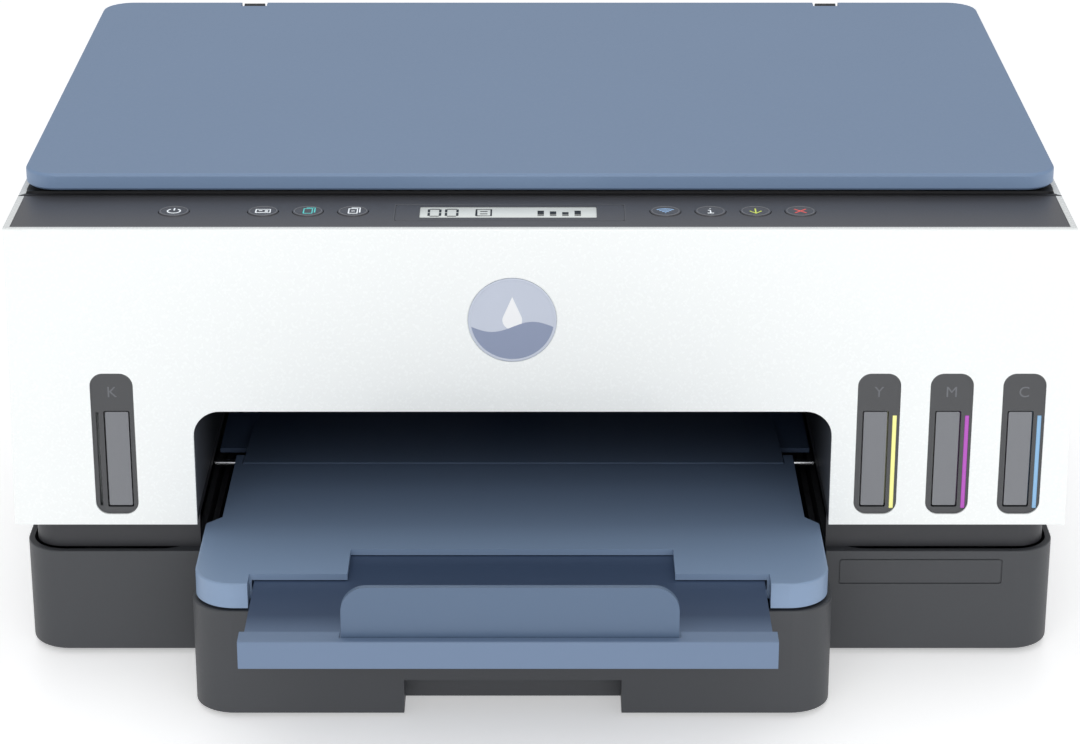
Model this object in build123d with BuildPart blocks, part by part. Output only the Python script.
from build123d import *
import os
from math import cos, pi, radians, sin, tan

os.makedirs("parts", exist_ok=True)

# Flatbed ink-tank printer, millimetres. X runs to the right, Y to the rear, Z up.
# The origin is under the middle of the printer's box, on the plane that the feet stand on.

# ---- overall sizes ---------------------------------------------------------------------------
case_w = 435.0          # white casing, width at its bottom edge
case_draft = 2.5        # each side leans in by this much up to the rim
case_depth = 316.0      # front panel to rear wall
foot_h = 2.5            # rubber feet
base_h = 45.6           # dark base housing
neck_h = 14.4           # dark band between the base and the casing
panel_h = 129.3         # height of the white front panel
lid_gap = 2.9           # dark gap under the lid
lid_t = 7.1             # lid thickness
wall = 2.6              # moulded wall of the casing
base_wall = 2.5         # moulded wall of the base
slip = 0.2              # clearance of pieces that sit in each other
path_x = -11.2          # middle of the paper path
path_w = 261.6          # width of the paper exit
exit_h = 113.0          # height of the top of the paper exit
panel_y = 42.0          # depth of the control panel
scan_h = 25.8           # height of the white skirt of the scanner unit
tray_reach = 53.0       # the cassette and output tray stand out this far
lip_reach = 52.0        # the tray extension is pulled out this far beyond the tray

case_front = (tray_reach + lip_reach - case_depth) / 2
base_top = foot_h + base_h
case_low = base_top + neck_h
rim = case_low + panel_h
lift_h = rim - scan_h
lid_low = rim + lid_gap
lid_top = lid_low + lid_t
rear = case_front + case_depth
exit_x = (path_x - path_w / 2, path_x + path_w / 2)


def back(distance):
    """Y of a place this far behind the front panel."""
    return case_front + distance


def half_w(z):
    """Half of the casing's width at height z, with its draft."""
    return case_w / 2 - case_draft * (z - case_low) / panel_h


def block(x, y, z, mode=Mode.ADD, r=0.0):
    """A box between two corners, with its upright edges rounded to r."""
    with BuildSketch(Plane.XY.offset(z[0])) as face:
        with Locations(((x[0] + x[1]) / 2, (y[0] + y[1]) / 2)):
            if r > 0:
                RectangleRounded(x[1] - x[0], y[1] - y[0], r)
            else:
                Rectangle(x[1] - x[0], y[1] - y[0])
    extrude(face.sketch, amount=z[1] - z[0], mode=mode)


def plate_y(x, z, y, mode=Mode.ADD, r=0.0):
    """A box whose outline is drawn on the front, with the edges along Y rounded to r."""
    with BuildSketch(Plane.XZ.offset(-y[0])) as face:
        with Locations(((x[0] + x[1]) / 2, (z[0] + z[1]) / 2)):
            if r > 0:
                RectangleRounded(x[1] - x[0], z[1] - z[0], r)
            else:
                Rectangle(x[1] - x[0], z[1] - z[0])
    extrude(face.sketch, amount=-(y[1] - y[0]), mode=mode)


def rod_z(x, y, z, r, mode=Mode.ADD):
    """An upright round bar or hole."""
    with BuildSketch(Plane.XY.offset(z[0])) as face:
        with Locations((x, y)):
            Circle(r)
    extrude(face.sketch, amount=z[1] - z[0], mode=mode)


def rod_x(x, y, z, r, mode=Mode.ADD):
    """A round bar or hole along X."""
    with BuildSketch(Plane.YZ.offset(x[0])) as face:
        with Locations((y, z)):
            Circle(r)
    extrude(face.sketch, amount=x[1] - x[0], mode=mode)


def rod_y(x, y, z, r, mode=Mode.ADD):
    """A round bar or hole along Y."""
    with BuildSketch(Plane.XZ.offset(-y[0])) as face:
        with Locations((x, z)):
            Circle(r)
    extrude(face.sketch, amount=-(y[1] - y[0]), mode=mode)


def casing_slab(inset, y, z, mode=Mode.ADD):
    """A slab with the casing's leaning sides, drawn in by inset."""
    low, high = half_w(z[0]) - inset, half_w(z[1]) - inset
    with BuildSketch(Plane.XZ.offset(-y[0])) as face:
        with BuildLine():
            Polyline((-low, z[0]), (low, z[0]), (high, z[1]), (-high, z[1]), close=True)
        make_face()
    extrude(face.sketch, amount=-(y[1] - y[0]), mode=mode)


def save(piece, name):
    """Label the piece and write its file."""
    piece.part.label = name
    export_step(piece.part, "parts/" + name + ".step")


# ---- base housing and feet -------------------------------------------------------------------
base_half = case_w / 2 - 1.7
base_front = back(5.0)
base_rear = rear - 2.0
base_r = 17.0
tunnel_x = exit_x
tunnel_rear = back(262.0)

with BuildPart() as base_housing:
    block((-base_half, base_half), (base_front, base_rear), (foot_h, base_top), r=base_r)
    fillet(base_housing.edges().group_by(Axis.Z)[-1], 0.7)
    fillet(base_housing.edges().group_by(Axis.Z)[0], 1.2)
    inner = base_half - base_wall
    for side in ((-inner, tunnel_x[0] - base_wall), (tunnel_x[1] + base_wall, inner)):
        block(side, (base_front + base_wall, base_rear - base_wall),
              (foot_h + 2.0, base_top), Mode.SUBTRACT, r=base_r - base_wall)
    block((tunnel_x[0] - base_wall - 1.0, tunnel_x[1] + base_wall + 1.0),
          (tunnel_rear + base_wall, base_rear - base_wall), (foot_h + 2.0, base_top), Mode.SUBTRACT)
    block(tunnel_x, (base_front - 1.0, tunnel_rear), (foot_h + 2.0, base_top + 1.0), Mode.SUBTRACT)
    # blank plate outline at the right of the front
    plate_y((base_half - 90.8, base_half - 22.3), (33.0, 44.5), (base_front - 0.1, base_front + 0.5),
            Mode.SUBTRACT, r=1.2)
    plate_y((base_half - 90.2, base_half - 22.9), (33.6, 43.9), (base_front, base_front + 0.6), r=0.8)
    # holes for the mains inlet and the data socket in the rear wall
    inlet_x, inlet_z = base_half - 50.8, 24.0
    inlet_w, inlet_h = 22.0, 15.0
    plate_y((inlet_x - inlet_w / 2, inlet_x + inlet_w / 2), (inlet_z - inlet_h / 2, inlet_z + inlet_h / 2),
            (base_rear - base_wall - 1, base_rear + 1), Mode.SUBTRACT, r=3.0)
    usb_x, usb_w, usb_h = 43.8 - base_half, 13.0, 12.0
    usb_z = foot_h + 9.6 + usb_h / 2
    usb_gap = 0.2
    plate_y((usb_x - usb_w / 2, usb_x + usb_w / 2), (usb_z - usb_h / 2 - usb_gap, usb_z + usb_h / 2),
            (base_rear - base_wall - 1, base_rear + 1), Mode.SUBTRACT, r=1.0)
save(base_housing, "base_housing")

foot_x, foot_y0, foot_y1 = base_half - 27.8, back(30.0), rear - 30.0
with BuildPart() as rubber_feet:
    for x in (-foot_x, foot_x):
        for y in (foot_y0, foot_y1):
            rod_z(x, y, (0.0, foot_h), 9.0)
save(rubber_feet, "rubber_feet")

# ---- middle frame: the dark neck, with a flange that the white casing sits over --------------
neck_half = case_w / 2 - 5.6
neck_front = back(10.0)
neck_rear = rear - 6.0
flange_z = (case_low + 0.5, case_low + 3.0)
boss_x = half_w(flange_z[1]) - wall
screw_x = boss_x - 9.5
screw_y = (back(112.0), rear - 54.0)
with BuildPart() as mid_frame:
    block((-neck_half, neck_half), (neck_front, neck_rear), (base_top, flange_z[0]), r=12.0)
    flange_half = half_w(flange_z[1]) - wall - slip
    block((-flange_half, flange_half), (back(wall + slip), rear - wall - slip), flange_z, r=2.0)
    block((-neck_half + 3.0, neck_half - 3.0), (neck_front + 3.0, neck_rear - 3.0),
          (base_top - 1.0, flange_z[0] - 1.0), Mode.SUBTRACT, r=9.0)
    # the paper path is open from the front through the deck
    block(exit_x, (back(-1.0), back(276.0)), (base_top - 1.0, flange_z[1] + 1.0), Mode.SUBTRACT)
    # well for the gear train
    block((exit_x[0] - 16.0, exit_x[0]), (back(134.0), back(276.0)), (base_top + 2.0, flange_z[1] + 1.0),
          Mode.SUBTRACT)
    for x in (-screw_x, screw_x):
        for y in screw_y:
            rod_z(x, y, (flange_z[0] - 2.0, flange_z[1] + 1.0), 1.6, Mode.SUBTRACT)
save(mid_frame, "mid_frame")

# ---- white upper casing ----------------------------------------------------------------------
gauge_w, gauge_z, gauge_r = 17.6, (67.2, 129.7), 5.5
gauge_pitch = 29.6
gauge_side = case_w / 2 - 19.95     # the outermost gauge on the right
gauge_x = {"black": 42.8 - case_w / 2, "yellow": gauge_side - 2 * gauge_pitch,
           "magenta": gauge_side - gauge_pitch, "cyan": gauge_side}
rear_cut_z = lift_h - 10.0
door_x, door_z = (-126.0, 104.0), (70.0, 146.0)
door_axis_y, door_axis_z = rear - wall / 2 - 0.1, door_z[0] + 3.2
bore_gap = 0.05         # radial clearance of pins and shafts
hinge_y, hinge_z = rear - 11.0, lift_h - 5.0      # axis on which the scanner unit lifts
hinge_x = (-150.0, 150.0)

with BuildPart() as upper_casing:
    casing_slab(0.0, (back(0.0), rear), (case_low, rim))
    casing_slab(wall, (back(wall), rear - wall), (case_low, rim), Mode.SUBTRACT)
    # the scanner unit takes the place of the walls above this height
    block((-case_w, case_w), (back(panel_y), rear + 1), (lift_h, rim + 1), Mode.SUBTRACT)
    block((-case_w, case_w), (rear - 16.0, rear + 1), (rear_cut_z, rim), Mode.SUBTRACT)
    # bulkhead behind the control panel
    casing_slab(wall, (back(panel_y - 2.0), back(panel_y)), (lift_h - 26.0, rim - 2.7))
    # paper exit with rounded upper corners
    plate_y(exit_x, (case_low - 20.0, exit_h), (back(-1.0), back(wall + 1.0)), Mode.SUBTRACT, r=11.0)
    for name, x in gauge_x.items():
        plate_y((x - gauge_w / 2, x + gauge_w / 2), gauge_z, (back(-1.0), back(wall + 1.0)),
                Mode.SUBTRACT, r=gauge_r)
    # opening for the rear access door
    plate_y(door_x, door_z, (rear - wall - 1, rear + 1), Mode.SUBTRACT, r=2.0)
    rod_x((door_x[0] - 3.4, door_x[1] + 3.4), door_axis_y, door_axis_z, 0.7 + bore_gap, Mode.SUBTRACT)
    # brackets that carry the pins of the scanner hinge
    for x in hinge_x:
        for ear in (-9.0, 6.0):
            block((x + ear, x + ear + 3.0), (hinge_y - 5.0, rear - wall), (rear_cut_z - 14.0, rear_cut_z))
            plate_y((x + ear, x + ear + 3.0), (rear_cut_z - 14.0, hinge_z), (hinge_y - 5.0, hinge_y + 5.0))
            rod_x((x + ear, x + ear + 3.0), hinge_y, hinge_z, 5.0)
    # badge seat
    rod_y(path_x, (back(-1.0), back(0.4)), 153.0, 18.2, Mode.SUBTRACT)
    # screw bosses that stand on the flange of the frame
    for x in ((-boss_x, 5.0 - screw_x), (screw_x - 5.0, boss_x)):
        for y in screw_y:
            block(x, (y - 4.5, y + 4.5), (flange_z[1], flange_z[1] + 14.0))
    for x in (-screw_x, screw_x):
        for y in screw_y:
            rod_z(x, y, (flange_z[1] - 1, flange_z[1] + 10.0), 1.5, Mode.SUBTRACT)
    # moulded pins of the scanner hinge, between the ears
    for x in hinge_x:
        rod_x((x - 9.0, x + 9.0), hinge_y, hinge_z, 2.0)
    front_rim = upper_casing.edges().filter_by(Axis.X).filter_by(lambda e: abs(e.center().Z - rim) < 0.01
                                                                and abs(e.center().Y - back(0.0)) < 0.01)
    fillet(front_rim, 1.0)
save(upper_casing, "upper_casing")

with BuildPart() as casing_screws:
    for x in (-screw_x, screw_x):
        for y in screw_y:
            rod_z(x, y, (flange_z[0] - 3.5, flange_z[0] - 1.0), 2.8)
            rod_z(x, y, (flange_z[0] - 1.0, flange_z[1] + 9.0), 1.5)
save(casing_screws, "casing_screws")

with BuildPart() as badge:
    rod_y(path_x, (back(-0.3), back(0.4)), 153.0, 18.0)
save(badge, "badge")

# ---- control panel, display and keys ---------------------------------------------------------
key_r, key_gap = 6.2, 0.3
key_y = back(21.9)
key_travel = 0.8
key_x = {"power": -148.6, "copy_card": -112.4, "copy_colour": -94.2, "copy_mono": -75.9,
         "wireless": 50.9, "info": 69.2, "resume": 87.5, "cancel": 105.7}
panel_t = 2.5
window_x, window_y = (-48.8, 23.0), (back(14.3), back(28.3))
with BuildPart() as control_panel:
    panel_half = half_w(rim) - wall - slip
    block((-panel_half, panel_half), (back(wall + slip), back(panel_y - slip)), (rim - panel_t, rim))
    for x in key_x.values():
        rod_z(x, key_y, (rim - panel_t - 1, rim + 1), key_r + key_gap, Mode.SUBTRACT)
    block(window_x, window_y, (rim - panel_t - 1, rim + 1), Mode.SUBTRACT, r=0.6)
    # the frame line round the display
    block((-59.0, 34.5), (back(9.9), back(30.9)), (rim - 0.25, rim + 1), Mode.SUBTRACT, r=1.5)
    with BuildSketch(Plane.XY.offset(rim - 0.25)) as inside:
        with Locations((-12.25, back(20.4))):
            RectangleRounded(92.5, 20.0, 1.1)
        with Locations(((window_x[0] + window_x[1]) / 2, (window_y[0] + window_y[1]) / 2)):
            RectangleRounded(window_x[1] - window_x[0], window_y[1] - window_y[0], 0.6, mode=Mode.SUBTRACT)
    extrude(inside.sketch, amount=0.25)
save(control_panel, "control_panel")

board_z = rim - 9.0
with BuildPart() as control_board:
    block((-158.0, 116.0), (back(7.0), back(36.0)), (board_z - 1.6, board_z))
    for x in key_x.values():
        block((x - 3.0, x + 3.0), (key_y - 3.0, key_y + 3.0), (board_z, board_z + 1.6))
save(control_board, "control_board")

with BuildPart() as display:
    block((window_x[0] + 0.15, window_x[1] - 0.15), (window_y[0] + 0.15, window_y[1] - 0.15),
          (rim - panel_t - 0.1, rim - 0.3), r=0.5)
    block((window_x[0] - 2.0, window_x[1] + 2.0), (window_y[0] - 2.0, window_y[1] + 2.0),
          (board_z, rim - panel_t - 0.1), r=0.5)
save(display, "display")

for name, x in key_x.items():
    with BuildPart() as key:
        rod_z(x, key_y, (board_z + 1.6 + key_travel + 0.2, board_z + 4.4), key_r + 1.4)
        rod_z(x, key_y, (board_z + 4.4, rim + 0.4), key_r)
        fillet(key.edges().group_by(Axis.Z)[-1], 0.3)
    save(key, "key_" + name)

# ---- ink gauges in the front panel -----------------------------------------------------------
lens_w, lens_z = 9.5, (70.8, 112.4)
lens_gap = 0.6
with BuildPart() as gauge_bezels:
    for name, x in gauge_x.items():
        plate_y((x - gauge_w / 2 + 0.1, x + gauge_w / 2 - 0.1), (gauge_z[0] + 0.1, gauge_z[1] - 0.1),
                (back(0.8), back(wall)), r=gauge_r - 0.1)
        plate_y((x - gauge_w / 2 - 1.5, x + gauge_w / 2 + 1.5), (gauge_z[0] - 1.5, gauge_z[1] + 1.5),
                (back(wall), back(wall + 1.2)), r=gauge_r)
        left = x - (-1.45 if name == "black" else 1.0) - lens_w / 2
        plate_y((left - lens_gap, left + lens_w + lens_gap), (lens_z[0] - lens_gap, lens_z[1] + lens_gap),
                (back(0.0), back(wall + 2)), Mode.SUBTRACT, r=0.8)
        if name == "black":
            plate_y((x - 7.1, x - 5.9), lens_z, (back(0.0), back(wall + 2)), Mode.SUBTRACT)
        else:
            plate_y((x + 5.9, x + 7.7), (lens_z[0] - 1.3, lens_z[1] - 1.4),
                    (back(0.0), back(wall + 2)), Mode.SUBTRACT)
save(gauge_bezels, "gauge_bezels")

with BuildPart() as gauge_lenses:
    for name, x in gauge_x.items():
        left = x - (-1.45 if name == "black" else 1.0) - lens_w / 2
        plate_y((left, left + lens_w), lens_z, (back(1.2), back(wall + 5.0)), r=0.5)
save(gauge_lenses, "gauge_lenses")

with BuildPart() as light_pipes:
    for name in ("yellow", "magenta", "cyan"):
        x = gauge_x[name]
        plate_y((x + 5.95, x + 7.65), (lens_z[0] - 1.25, lens_z[1] - 1.45), (back(0.8), back(wall + 5.0)))
save(light_pipes, "light_pipes")

# ---- ink tanks and their caps ----------------------------------------------------------------
tank_front, tank_rear = back(wall + 5.2), back(100.0)
tank_z = (case_low + 3.2, 126.0)
tank_wall = 1.6
neck_y, neck_r, neck_top = back(72.0), 6.0, 134.0
cap_axis_y, cap_axis_z = back(84.0), 136.4
cap_t = 2.4
tank_half = {"black": 19.0, "yellow": 13.6, "magenta": 13.6, "cyan": 13.6}
with BuildPart() as ink_tanks:
    for name, x in gauge_x.items():
        half = tank_half[name]
        block((x - half, x + half), (tank_front, tank_rear), tank_z, r=2.0)
        rod_z(x, neck_y, (tank_z[1], neck_top), neck_r + tank_wall)
        # pin block of the cap hinge
        block((x - 4.0, x + 4.0), (cap_axis_y - 2.2, cap_axis_y + 2.2), (tank_z[1], cap_axis_z))
        rod_x((x - 4.0, x + 4.0), cap_axis_y, cap_axis_z, 2.2)
    for name, x in gauge_x.items():
        half = tank_half[name]
        block((x - half + tank_wall, x + half - tank_wall),
              (tank_front + tank_wall, tank_rear - tank_wall),
              (tank_z[0] + tank_wall, tank_z[1] - tank_wall), Mode.SUBTRACT, r=1.0)
        rod_z(x, neck_y, (tank_z[1] - tank_wall - 1, neck_top + 1), neck_r, Mode.SUBTRACT)
        rod_x((x - 5.0, x + 5.0), cap_axis_y, cap_axis_z, 0.8 + bore_gap, Mode.SUBTRACT)
save(ink_tanks, "ink_tanks")

for name, x in gauge_x.items():
    with BuildPart() as cap:
        cap_z = (neck_top + 0.2, neck_top + 0.2 + cap_t)
        block((x - 8.4, x + 8.4), (neck_y - 9.5, cap_axis_y - 2.6), cap_z, r=3.0)
        rod_z(x, neck_y, (neck_top - 2.0, cap_z[0]), neck_r - 1.2)
        for side in ((x - 7.0, x - 4.3), (x + 4.3, x + 7.0)):
            block(side, (cap_axis_y - 4.0, cap_axis_y), cap_z)
            rod_x(side, cap_axis_y, cap_axis_z, 1.7)
        rod_x((x - 4.4, x + 4.4), cap_axis_y, cap_axis_z, 0.8)
    save(cap, "tank_cap_" + name)

# ---- paper exit: lining, fixed ramp and the two plates that carry the rollers ----------------
liner_rear = back(140.0)
with BuildPart() as exit_lining:
    for x in ((exit_x[0] - 2.2, exit_x[0] - 0.2), (exit_x[1] + 0.2, exit_x[1] + 2.2)):
        block(x, (back(wall + slip), liner_rear), (flange_z[1] + slip, exit_h + 2.4))
    block((exit_x[0] - 0.2, exit_x[1] + 0.2), (back(wall + slip), liner_rear), (exit_h + 0.4, exit_h + 2.4))
save(exit_lining, "exit_lining")

tray_top = 60.4
tray_low = 49.7
tray_pivot_y, tray_pivot_z = back(78.0), 57.0
ramp_x = (exit_x[0] + 12.8, exit_x[1] - 13.5)
plate_t = 2.0
roll_x = (exit_x[0] + 1.0, exit_x[1] - 1.0)
with BuildPart() as output_ramp:
    with BuildSketch(Plane.YZ.offset(ramp_x[0])) as slope:
        with BuildLine():
            Polyline((back(70.0), tray_top), (back(143.0), tray_top - 6.0), (back(143.0), tray_top - 8.4),
                     (back(70.0), tray_top - 2.4), close=True)
        make_face()
    extrude(slope.sketch, amount=ramp_x[1] - ramp_x[0])
    # feet that reach out to the roller plates
    block((exit_x[0], ramp_x[0] + 1.0), (back(98.0), back(140.0)), (tray_top - 7.0, tray_top - 5.0))
    block((ramp_x[1] - 1.0, exit_x[1]), (back(98.0), back(140.0)), (tray_top - 7.0, tray_top - 5.0))
save(output_ramp, "output_ramp")

feed_y, feed_z = back(225.0), 78.0
gear_m = 1.0
feed_teeth, idler_teeth, exit_teeth, pinion_teeth = 44, 42, 22, 12
idler_y = feed_y - gear_m * (feed_teeth + idler_teeth) / 2
exit_y = idler_y - gear_m * (idler_teeth + exit_teeth) / 2
pinion_y = feed_y + gear_m * (feed_teeth + pinion_teeth) / 2
shaft_r = 4.0
side_z = (flange_z[1] + slip, 90.0)
side_x = ((exit_x[0] - 2.4 - plate_t, exit_x[0] - 2.4), (exit_x[1] + 2.4, exit_x[1] + 2.4 + plate_t))
arm_y, arm_z = back(222.0), 58.5
with BuildPart() as roller_plates:
    for x in side_x:
        block(x, (back(142.5), back(240.0)), side_z)
        block((x[0] - 1, x[1] + 1), (back(160.0), back(212.0)), (82.5, side_z[1] + 1), Mode.SUBTRACT)
        rod_x((x[0] - 1, x[1] + 1), feed_y, feed_z, shaft_r + bore_gap, Mode.SUBTRACT)
        rod_x((x[0] - 1, x[1] + 1), exit_y, feed_z, 2.5 + bore_gap, Mode.SUBTRACT)
    # stub that the idler turns on
    rod_x((side_x[0][0] - 12.0, side_x[0][0]), idler_y, feed_z, 3.0)
save(roller_plates, "roller_plates")

with BuildPart() as platen:
    block((side_x[0][1], side_x[1][0]), (back(160.0), back(213.0)), (70.0, 73.0))
    for i in range(24):
        x = roll_x[0] + 10.0 + i * (roll_x[1] - roll_x[0] - 20.0) / 23
        block((x - 1.0, x + 1.0), (back(163.0), back(210.0)), (73.0, 75.0))
save(platen, "platen")


def gear(teeth, x, y, z, r_bore, turn=0.0):
    """A spur gear of trapezoid teeth; turn shifts its first tooth, counted in teeth."""
    r_pitch = gear_m * teeth / 2
    r_tip, r_root = r_pitch + 0.85 * gear_m, r_pitch - 1.2 * gear_m
    half_pitch = (pi * gear_m / 4 - 0.14) / r_pitch
    slope = tan(radians(20.0))
    half_tip = half_pitch - 0.85 * gear_m * slope / r_pitch
    half_root = half_pitch + 1.2 * gear_m * slope / r_pitch
    points = []
    for i in range(teeth):
        mid = (i + turn) * 2 * pi / teeth
        for r, da in ((r_root, -half_root), (r_tip, -half_tip), (r_tip, half_tip), (r_root, half_root)):
            points.append((y + r * cos(mid + da), z + r * sin(mid + da)))
    with BuildSketch(Plane.YZ.offset(x[0])) as outline:
        with BuildLine():
            Polyline(*points, close=True)
        make_face()
        if r_bore > 0:
            with Locations((y, z)):
                Circle(r_bore, mode=Mode.SUBTRACT)
    extrude(outline.sketch, amount=x[1] - x[0])


gear_x = (side_x[0][0] - 10.0, side_x[0][0] - 3.0)
with BuildPart() as feed_roller:
    rod_x((gear_x[0] - 2.0, side_x[1][1] + 2.0), feed_y, feed_z, shaft_r)
    rod_x(roll_x, feed_y, feed_z, 8.0)
    gear(feed_teeth, gear_x, feed_y, feed_z, 0.0)
save(feed_roller, "feed_roller")

with BuildPart() as idler_gear:
    gear(idler_teeth, gear_x, idler_y, feed_z, 3.0 + bore_gap, turn=0.5)
save(idler_gear, "idler_gear")

with BuildPart() as exit_roller:
    rod_x((gear_x[0], side_x[1][1] + 2.0), exit_y, feed_z, 2.5)
    for i in range(7):
        x = roll_x[0] + 12.0 + i * (roll_x[1] - roll_x[0] - 36.0) / 6
        rod_x((x, x + 12.0), exit_y, feed_z, 6.0)
    gear(exit_teeth, gear_x, exit_y, feed_z, 0.0)
save(exit_roller, "exit_roller")

motor_r = 17.0
with BuildPart() as feed_motor:
    rod_x((side_x[0][1] + 6.0, side_x[0][1] + 34.0), pinion_y, feed_z, motor_r)
    rod_x((side_x[0][1], side_x[0][1] + 6.0), pinion_y, feed_z, 6.0)
    rod_x((gear_x[0] - 1.0, side_x[0][1]), pinion_y, feed_z, 1.2)
    block((side_x[0][0], side_x[0][1]), (back(240.2), pinion_y + motor_r), (side_z[0], feed_z + motor_r))
save(feed_motor, "feed_motor")

with BuildPart() as feed_pinion:
    gear(pinion_teeth, gear_x, pinion_y, feed_z, 1.2 + bore_gap, turn=0.5)
save(feed_pinion, "feed_pinion")

# ---- pickup arm over the paper stack ---------------------------------------------------------
arm_len = 50.0
pick_r = 9.0
with BuildPart() as pickup_shaft:
    rod_x(exit_x, arm_y, arm_z, 2.5)
    for x in (exit_x[0], exit_x[1] - 4.0):
        block((x, x + 4.0), (arm_y - 3.0, arm_y + 3.0), (arm_z - 3.0, arm_z + 6.0))
save(pickup_shaft, "pickup_shaft")

with BuildPart() as pickup_arm:
    for x in (-16.0, 13.0):
        x0 = path_x + x
        with BuildSketch(Plane.YZ.offset(x0)) as side:
            with Locations((arm_y - arm_len / 2, arm_z)):
                SlotCenterToCenter(arm_len, 9.0)
            with Locations((arm_y, arm_z)):
                Circle(2.5 + bore_gap, mode=Mode.SUBTRACT)
        extrude(side.sketch, amount=3.0)
    block((path_x - 16.0, path_x + 16.0), (arm_y - 32.0, arm_y - 10.0), (arm_z - 1.5, arm_z + 1.5))
    rod_x((path_x - 16.0, path_x + 16.0), arm_y - arm_len, arm_z, 2.0)
save(pickup_arm, "pickup_arm")

with BuildPart() as pickup_roller:
    rod_x((path_x - 12.6, path_x + 12.6), arm_y - arm_len, arm_z, pick_r)
    rod_x((path_x - 13.0, path_x + 13.0), arm_y - arm_len, arm_z, 2.0 + bore_gap, Mode.SUBTRACT)
save(pickup_roller, "pickup_roller")

# ---- print carriage, its rail and drive ------------------------------------------------------
rail_y = (back(214.0), back(222.0))
rail_z = (104.0, 140.0)
rail_half = case_w / 2 - 13.5
park_x = case_w / 2 - 55.5
pulley_y = (back(225.0), back(232.0))
pulley_z = 125.0
pulley_r = 7.0
pulley_x = (16.0 - rail_half, rail_half - 16.0)
belt_t = 0.8
with BuildPart() as carriage_rail:
    block((-rail_half, rail_half), (rail_y[0], rail_y[0] + 1.6), rail_z)
    block((-rail_half, rail_half), rail_y, (rail_z[0], rail_z[0] + 1.6))
    for x in (-rail_half, rail_half - 8.0):
        block((x, x + 8.0), rail_y, (flange_z[1], rail_z[0] + 1.0))
    # bent bracket with the axle of the idler pulley
    rod_y(pulley_x[1], (pulley_y[0] - 1.0, pulley_y[1] + 5.0), pulley_z, 1.5)
    block((pulley_x[1] + 9.0, pulley_x[1] + 11.0), (rail_y[0], pulley_y[1] + 7.0),
          (pulley_z - 10.0, pulley_z + 10.0))
    block((pulley_x[1] - 10.0, pulley_x[1] + 11.0), (pulley_y[1] + 5.0, pulley_y[1] + 7.0),
          (pulley_z - 10.0, pulley_z + 10.0))
save(carriage_rail, "carriage_rail")

with BuildPart() as print_carriage:
    block((park_x - 33.0, park_x + 33.0), (back(158.0), rail_y[0] - 0.3), (92.0, 138.0), r=3.0)
    block((park_x - 30.0, park_x + 30.0), (back(161.0), back(205.0)), (96.0, 140.0), Mode.SUBTRACT, r=2.0)
    # print head under the carriage
    block((park_x - 24.0, park_x + 24.0), (back(166.0), back(206.0)), (84.0, 92.0))
    # ink bulkheads inside
    for x in (-18.0, 0.0, 18.0):
        block((park_x + x - 7.0, park_x + x + 7.0), (back(164.0), back(202.0)), (96.0, 130.0), r=1.5)
    # shoe over the top of the rail, and the arm that holds the belt
    shoe_z = (rail_z[1] + 0.2, rail_z[1] + 3.0)
    block((park_x - 22.0, park_x + 22.0), (rail_y[0] - 8.0, rail_y[0] + 4.0), shoe_z)
    block((park_x - 22.0, park_x + 22.0), (rail_y[0] - 8.0, rail_y[0] - 4.0), (137.0, shoe_z[1]))
    block((park_x - 7.0, park_x + 7.0), (rail_y[0], pulley_y[1]), shoe_z)
    block((park_x - 7.0, park_x + 7.0), (pulley_y[0], pulley_y[1]),
          (pulley_z + pulley_r + belt_t + 0.15, shoe_z[1]))
save(print_carriage, "print_carriage")

with BuildPart() as drive_belt:
    with BuildSketch(Plane.XZ.offset(-pulley_y[0] - 0.5)) as loop:
        with Locations((0, pulley_z)):
            SlotCenterToCenter(pulley_x[1] - pulley_x[0], 2 * (pulley_r + belt_t))
            SlotCenterToCenter(pulley_x[1] - pulley_x[0], 2 * (pulley_r + 0.05), mode=Mode.SUBTRACT)
    extrude(loop.sketch, amount=-6.0)
save(drive_belt, "drive_belt")

with BuildPart() as carriage_motor:
    rod_y(pulley_x[0], (pulley_y[1] + 6.0, pulley_y[1] + 38.0), pulley_z, 14.0)
    rod_y(pulley_x[0], (pulley_y[0] - 1.0, pulley_y[1] + 6.0), pulley_z, 1.5)
    block((pulley_x[0] - 15.0, pulley_x[0] + 15.0), (pulley_y[1] + 5.0, pulley_y[1] + 6.5),
          (flange_z[1], pulley_z + 15.0))
save(carriage_motor, "carriage_motor")

for name, x in (("motor_pulley", pulley_x[0]), ("idler_pulley", pulley_x[1])):
    with BuildPart() as pulley:
        rod_y(x, (pulley_y[0] + 0.2, pulley_y[1] - 0.2), pulley_z, pulley_r)
        rod_y(x, (pulley_y[0] - 0.5, pulley_y[1] + 1.0), pulley_z, 1.5 + bore_gap, Mode.SUBTRACT)
        for a in range(4):
            rod_y(x + 4.2 * cos(a * pi / 2), (pulley_y[0], pulley_y[1]), pulley_z + 4.2 * sin(a * pi / 2),
                  1.2, Mode.SUBTRACT)
    save(pulley, name)

with BuildPart() as capping_station:
    block((park_x - 30.0, park_x + 30.0), (back(162.0), back(210.0)), (flange_z[1], 78.0), r=2.0)
    block((park_x - 22.0, park_x + 22.0), (back(168.0), back(204.0)), (76.0, 80.0), Mode.SUBTRACT, r=2.0)
    block((park_x - 20.0, park_x + 20.0), (back(170.0), back(202.0)), (75.0, 82.0), r=2.0)
    block((park_x - 17.5, park_x + 17.5), (back(172.5), back(199.5)), (77.0, 83.0), Mode.SUBTRACT, r=1.5)
save(capping_station, "capping_station")

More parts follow.
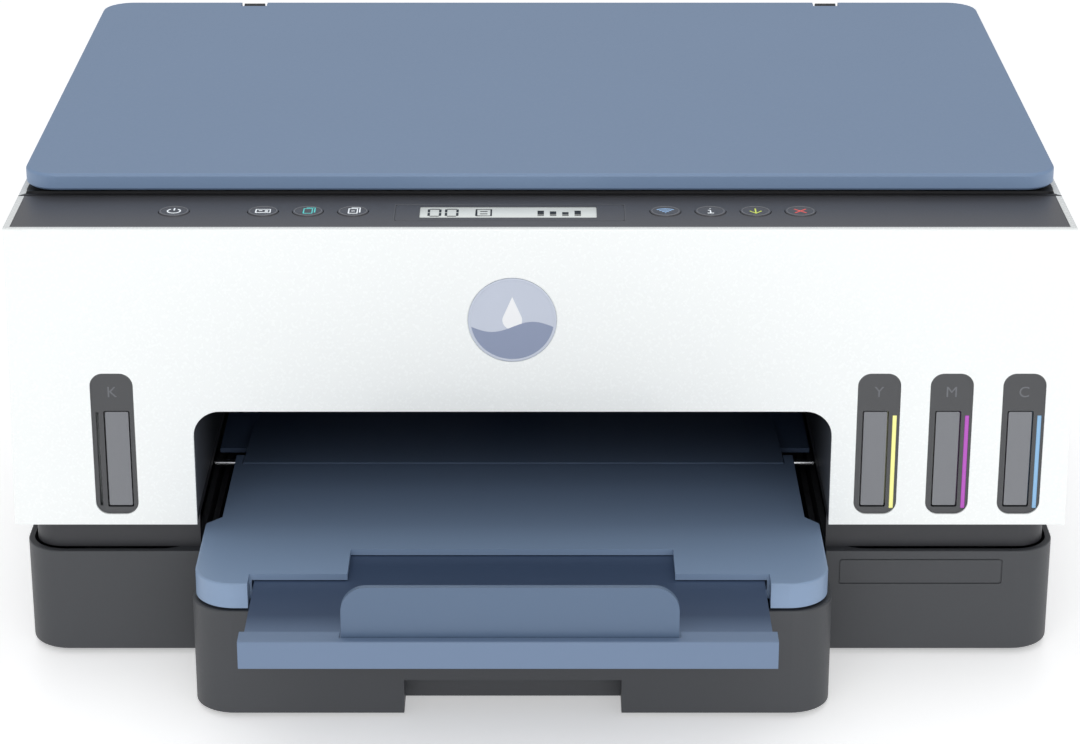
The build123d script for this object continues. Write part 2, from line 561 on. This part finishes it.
# ---- electronics in the side bays of the base ------------------------------------------------
bay_z = foot_h + 2.0
board_x = (17.8 - base_half, 57.8 - base_half)
with BuildPart() as main_board:
    block(board_x, (back(120.0), base_rear - base_wall - 0.3), (bay_z + 6.0, bay_z + 7.6))
    for y in (back(130.0), rear - 26.0):
        for x in (board_x[0] + 6.0, board_x[1] - 6.0):
            rod_z(x, y, (bay_z, bay_z + 6.0), 3.0)
    block((board_x[0] + 6.0, board_x[0] + 28.0), (back(180.0), back(202.0)), (bay_z + 7.6, bay_z + 10.0))
    block((board_x[0] + 2.0, board_x[0] + 20.0), (back(230.0), back(240.0)), (bay_z + 7.6, bay_z + 16.0))
    for i in range(4):
        rod_z(board_x[1] - 6.0, back(150.0 + 22.0 * i), (bay_z + 7.6, bay_z + 19.0), 4.0)
    # data socket on the board's rear edge
    plate_y((usb_x - usb_w / 2 + 0.1, usb_x + usb_w / 2 - 0.1),
            (usb_z - usb_h / 2, usb_z + usb_h / 2 - 0.1), (base_rear - 17.0, base_rear + 0.3), r=0.9)
    plate_y((usb_x - 4.2, usb_x + 4.2), (usb_z - 3.0, usb_z + 4.8), (base_rear - 10.0, base_rear + 1.0),
            Mode.SUBTRACT, r=0.6)
    plate_y((usb_x - 2.6, usb_x + 2.6), (usb_z - 0.6, usb_z + 2.4), (base_rear - 11.0, base_rear - 1.5))
save(main_board, "main_board")

with BuildPart() as power_supply:
    block((base_half - 84.8, base_half - 10.8), (back(150.0), rear - 28.0), (bay_z, bay_z + 36.0), r=3.0)
    for i in range(9):
        y = back(165.0 + 12.0 * i)
        block((base_half - 73.8, base_half - 21.8), (y, y + 4.0), (bay_z + 34.0, bay_z + 37.0),
              Mode.SUBTRACT)
    # mains inlet on the supply's rear end
    block((inlet_x - 6.0, inlet_x + 6.0), (rear - 29.0, base_rear - 19.0), (bay_z, inlet_z + 6.0))
    plate_y((inlet_x - inlet_w / 2 + 0.1, inlet_x + inlet_w / 2 - 0.1),
            (inlet_z - inlet_h / 2 + 0.1, inlet_z + inlet_h / 2 - 0.1),
            (base_rear - 20.0, base_rear + 0.3), r=2.9)
    with BuildSketch(Plane.XZ.offset(-base_rear + 14.0)) as mouth:
        with Locations((inlet_x, inlet_z)):
            SlotCenterToCenter(7.6, 8.6)
    extrude(mouth.sketch, amount=-16.0, mode=Mode.SUBTRACT)
    for x in (-4.3, 4.3):
        rod_y(inlet_x + x, (base_rear - 15.0, base_rear - 3.0), inlet_z, 1.2)
save(power_supply, "power_supply")

# ---- rear access door ------------------------------------------------------------------------
door_gap = 0.4
with BuildPart() as rear_door:
    plate_y((door_x[0] + door_gap, door_x[1] - door_gap), (door_axis_z - 1.3, door_z[1] - door_gap),
            (rear - wall, rear - 0.1), r=1.2)
    for x in ((door_x[0] + door_gap, door_x[0] + 8.0), (door_x[1] - 8.0, door_x[1] - door_gap)):
        rod_x(x, door_axis_y, door_axis_z, 1.3)
    # hinge pins that reach into the casing
    rod_x((door_x[0] - 3.0, door_x[0] + 8.0), door_axis_y, door_axis_z, 0.7)
    rod_x((door_x[1] - 8.0, door_x[1] + 3.0), door_axis_y, door_axis_z, 0.7)
    # finger slot near the top
    plate_y((-36.0, 14.0), (door_z[1] - 14.0, door_z[1] - 7.0), (rear - 1.4, rear), Mode.SUBTRACT, r=3.0)
    for i in range(12):
        x = door_x[0] + 18.0 + i * 17.5
        plate_y((x, x + 2.0), (door_z[0] + 12.0, door_z[1] - 20.0), (rear - 0.7, rear), Mode.SUBTRACT)
save(rear_door, "rear_door")

# ---- scanner unit ----------------------------------------------------------------------------
scan_front, scan_low = back(panel_y + 0.6), lift_h + 0.6
frame_top = rim + 1.0
with BuildPart() as scanner_skirt:
    casing_slab(0.0, (scan_front, rear), (scan_low, rim))
    casing_slab(wall, (scan_front + wall, rear - wall), (scan_low, rim), Mode.SUBTRACT)
save(scanner_skirt, "scanner_skirt")

tub_half = half_w(rim) - wall - slip
tub_y = (scan_front + wall + slip, rear - wall - slip)
glass_x, glass_y = (40.2 - tub_half, tub_half - 62.2), (back(58.0), rear - 30.0)
glass_t = 3.0
lid_axis_y, lid_axis_z = rear - 3.2, lid_low + 4.3
lid_hinge_x = (-140.0, 140.0)
with BuildPart() as scanner_frame:
    block((-tub_half, tub_half), tub_y, (scan_low, frame_top), r=3.0)
    block((-tub_half + 2.0, tub_half - 2.0), (tub_y[0] + 2.0, tub_y[1] - 2.0),
          (scan_low + 2.0, frame_top - 2.0), Mode.SUBTRACT, r=2.0)
    block(glass_x, glass_y, (frame_top - glass_t, frame_top + 1.0), Mode.SUBTRACT, r=1.0)
    # rail that the scan bar slides on
    block((-tub_half + 2.0, tub_half - 2.0), (back(168.0), back(174.0)), (scan_low + 2.0, scan_low + 5.0))
    # posts that carry the lid
    for x in lid_hinge_x:
        block((x - 5.0, x + 5.0), (lid_axis_y - 2.6, rear - wall - slip), (frame_top - 3.0, lid_axis_z))
        rod_x((x - 5.0, x + 5.0), lid_axis_y, lid_axis_z, 2.6)
        rod_x((x - 6.0, x + 6.0), lid_axis_y, lid_axis_z, 1.2 + bore_gap, Mode.SUBTRACT)
    # knuckles of the lifting hinge
    for x in hinge_x:
        block((x - 5.6, x + 5.6), (hinge_y - 4.0, hinge_y + 4.0), (hinge_z, scan_low))
        rod_x((x - 5.6, x + 5.6), hinge_y, hinge_z, 4.0)
        rod_x((x - 6.0, x + 6.0), hinge_y, hinge_z, 2.0 + bore_gap, Mode.SUBTRACT)
save(scanner_frame, "scanner_frame")

with BuildPart() as scanner_glass:
    block((glass_x[0] + 0.2, glass_x[1] - 0.2), (glass_y[0] + 0.2, glass_y[1] - 0.2),
          (frame_top - glass_t + 0.2, frame_top), r=0.8)
save(scanner_glass, "scanner_glass")

bar_x = glass_x[0] + 2.0
with BuildPart() as scan_bar:
    block((bar_x, bar_x + 22.0), (glass_y[0] + 2.0, glass_y[1] - 2.0),
          (scan_low + 5.6, frame_top - glass_t - 0.6), r=1.0)
    block((bar_x + 9.0, bar_x + 13.0), (glass_y[0] + 6.0, glass_y[1] - 6.0),
          (frame_top - glass_t - 2.4, frame_top), Mode.SUBTRACT)
save(scan_bar, "scan_bar")

# ---- lid -------------------------------------------------------------------------------------
lid_half = half_w(rim) - 2.1
lid_front, lid_rear = back(40.4), rear - 0.8
skin = 2.2
notch = 1.2
with BuildPart() as lid_cover:
    block((-lid_half, lid_half), (lid_front, lid_rear), (lid_low, lid_top), r=14.0)
    fillet(lid_cover.edges().group_by(Axis.Z)[-1], 1.3)
    chamfer(lid_cover.edges().group_by(Axis.Z)[0], 0.9)
    block((-lid_half + 2.4, lid_half - 2.4), (lid_front + 2.4, lid_axis_y - 6.0),
          (lid_low - 1.0, lid_top - skin), Mode.SUBTRACT, r=11.6)
    for x in lid_hinge_x:
        block((x - 5.0 - notch, x + 5.0 + notch), (lid_axis_y - 5.2, lid_rear + 1.0),
              (lid_low - 1.0, lid_top + 1.0), Mode.SUBTRACT)
        rod_x((x - 7.0, x + 7.0), lid_axis_y, lid_axis_z, 1.2)
save(lid_cover, "lid_cover")

with BuildPart() as lid_pad:
    block((glass_x[0] - 8.0, glass_x[1] + 8.0), (glass_y[0] - 8.0, glass_y[1] + 6.0),
          (frame_top + 0.3, lid_top - skin), r=5.0)
save(lid_pad, "lid_pad")

# ---- paper cassette --------------------------------------------------------------------------
cass_gap = 1.3
cass_x = (exit_x[0] + cass_gap, exit_x[1] - cass_gap)
cass_front, cass_rear = back(-tray_reach), back(250.0)
cass_r = 17.0
nose_z = (foot_h + 0.2, base_top + 0.3)
pan_low = foot_h + 2.5
grip_x, grip_top, grip_d = (-55.0, 33.0), 17.5, 15.0
guide_half = 105.6
with BuildPart() as cassette:
    block(cass_x, (cass_front, back(40.0)), nose_z, r=cass_r)
    block(cass_x, (back(-20.0), cass_rear), (nose_z[0], nose_z[1] - 4.0), r=3.0)
    for trim_z in ((nose_z[0] - 1.0, pan_low), (nose_z[1] - 4.0, nose_z[1] + 1)):
        block((cass_x[0] - 1, cass_x[1] + 1), (base_front - 1.2, cass_rear + 1), trim_z, Mode.SUBTRACT)
    block((cass_x[0] + 2.5, cass_x[1] - 2.5), (cass_front + 2.5, cass_rear - 2.5),
          (pan_low + 2.0, nose_z[1] + 1.0), Mode.SUBTRACT, r=14.5)
    block((cass_x[0] + 2.5, cass_x[1] - 2.5), (back(150.0), cass_rear - 2.5),
          (pan_low + 2.0, nose_z[1] + 1.0), Mode.SUBTRACT)
    # finger grip under the front edge, with its own walls
    block((grip_x[0] - 2.0, grip_x[1] + 2.0), (cass_front + 1.0, cass_front + grip_d + 2.0),
          (nose_z[0], grip_top + 2.0))
    block(grip_x, (cass_front - 1.0, cass_front + grip_d), (nose_z[0] - 1.0, grip_top), Mode.SUBTRACT)
    fillet(cassette.edges().filter_by(GeomType.LINE).filter_by(Axis.X).filter_by(
        lambda e: abs(e.center().Y - cass_front) < 0.1 and e.center().Z > nose_z[1] - 0.1), 0.8)
save(cassette, "cassette")

guide_z = (pan_low + 2.2, pan_low + 3.8)
for side, name in ((-1, "left"), (1, "right")):
    with BuildPart() as guide:
        near = path_x + side * guide_half
        fence = sorted((near, near + side * 2.0))
        arm = sorted((near, near - side * 40.0))
        block(fence, (back(20.0), back(110.0)), (guide_z[0], 34.0))
        block(arm, (back(60.0), back(78.0)), guide_z)
    save(guide, "paper_guide_" + name)

# ---- output tray, its extension and the paper stop -------------------------------------------
wide_x = (exit_x[0] + 2.8, exit_x[1] - 3.2)
narrow_x = (exit_x[0] + 9.2, exit_x[1] - 9.0)
notch_x = (exit_x[0] + 25.1, exit_x[1] - 27.3)
notch_d = 9.2
slot_z = (53.6, 57.8)
stop_x = (-76.6, 53.6)
stop_r, stop_t = 10.0, 2.4
stop_top = 81.4
lip_t = 9.0
stop_slot = 0.8
with BuildPart() as output_tray:
    block(wide_x, (cass_front, back(5.5)), (tray_low, tray_top), r=17.0)
    with BuildSketch(Plane.XY.offset(tray_low)) as body:
        with BuildLine():
            Polyline((wide_x[0], back(-30.0)), (wide_x[1], back(-30.0)),
                     (wide_x[1], back(5.5)), (narrow_x[1], back(12.2)),
                     (narrow_x[1], back(84.0)), (ramp_x[1] + 0.4, back(84.0)),
                     (ramp_x[1] + 0.4, back(69.0)), (ramp_x[0] - 0.4, back(69.0)),
                     (ramp_x[0] - 0.4, back(84.0)), (narrow_x[0], back(84.0)),
                     (narrow_x[0], back(12.2)), (wide_x[0], back(5.5)), close=True)
        make_face()
    extrude(body.sketch, amount=tray_top - tray_low)
    fillet(output_tray.edges().filter_by(lambda e: e.center().Z > tray_top - 0.01
                                         and e.center().Y < back(-25.0)), 0.8)
    # recess for the lip, slot for the plate, and the hollow underside
    full_z = (tray_low - 1.0, tray_top + 1.0)
    block(notch_x, (cass_front - 1.0, cass_front + notch_d), full_z, Mode.SUBTRACT)
    block((notch_x[0] + 1.0, notch_x[1] - 1.0), (cass_front, back(66.0)), slot_z, Mode.SUBTRACT)
    block((notch_x[0] + 2.0, notch_x[1] - 2.0), (cass_front + notch_d + 3.0, back(60.0)),
          (tray_low - 1.0, slot_z[0] - 1.9), Mode.SUBTRACT)
    # room for the paper stop when the extension is pushed in
    block((stop_x[0] - stop_slot, stop_x[1] + stop_slot), (cass_front, cass_front + 33.0),
          (slot_z[0] + 1.0, tray_top + 1.0), Mode.SUBTRACT)
    # rounded ears with the bores for the pins
    for x in ((narrow_x[0], ramp_x[0] - 0.4), (ramp_x[1] + 0.4, narrow_x[1])):
        block((x[0] - 0.1, x[1] + 0.1), (back(69.5), back(85.0)), full_z, Mode.SUBTRACT)
        rod_x(x, tray_pivot_y, tray_pivot_z, 3.4)
        block(x, (back(69.0), tray_pivot_y), (tray_pivot_z - 3.4, tray_pivot_z + 3.4))
        rod_x((x[0] - 1, x[1] + 1), tray_pivot_y, tray_pivot_z, 1.6 + bore_gap, Mode.SUBTRACT)
save(output_tray, "output_tray")

with BuildPart() as tray_pins:
    rod_x((exit_x[0] - 0.2, ramp_x[0]), tray_pivot_y, tray_pivot_z, 1.6)
    rod_x((ramp_x[1], exit_x[1] + 0.2), tray_pivot_y, tray_pivot_z, 1.6)
save(tray_pins, "tray_pins")

lip_front = cass_front - lip_reach
plate_z = (slot_z[0] + 0.3, slot_z[1] - 0.4)
stop_y, stop_z = lip_front + 5.4, plate_z[1] + 1.5
with BuildPart() as tray_extension:
    block((notch_x[0] + 0.6, notch_x[1] - 0.6), (lip_front, lip_front + lip_t), (tray_low - 0.7, tray_top))
    fillet(tray_extension.edges().filter_by(Axis.X).filter_by(
        lambda e: e.center().Y < lip_front + 0.01 and e.center().Z > tray_top - 0.1), 0.8)
    block((notch_x[0] + 2.0, notch_x[1] - 2.0), (lip_front + 2.0, back(10.0)), plate_z)
    # seat of the paper stop behind the front bar
    block((stop_x[0] - stop_slot, stop_x[1] + stop_slot),
          (stop_y - stop_t / 2 - 0.5, lip_front + lip_t + 1.0), (plate_z[1], tray_top + 1.0), Mode.SUBTRACT)
    rod_x((stop_x[0] - 4.0, stop_x[1] + 4.0), stop_y, stop_z, 0.7, Mode.SUBTRACT)
save(tray_extension, "tray_extension")

with BuildPart() as paper_stop:
    with BuildSketch(Plane.XZ.offset(-(stop_y - stop_t / 2))) as flap:
        with BuildLine():
            Line((stop_x[0], stop_z), (stop_x[0], stop_top - stop_r))
            Line((stop_x[0] + stop_r, stop_top), (stop_x[1] - stop_r, stop_top))
            Line((stop_x[1], stop_top - stop_r), (stop_x[1], stop_z))
            Line((stop_x[1], stop_z), (stop_x[0], stop_z))
            CenterArc((stop_x[0] + stop_r, stop_top - stop_r), stop_r, 90, 90)
            CenterArc((stop_x[1] - stop_r, stop_top - stop_r), stop_r, 0, 90)
        make_face()
    extrude(flap.sketch, amount=-stop_t)
    rod_x(stop_x, stop_y, stop_z, stop_t / 2)
    rod_x((stop_x[0] - 3.5, stop_x[1] + 3.5), stop_y, stop_z, 0.6)
save(paper_stop, "paper_stop")
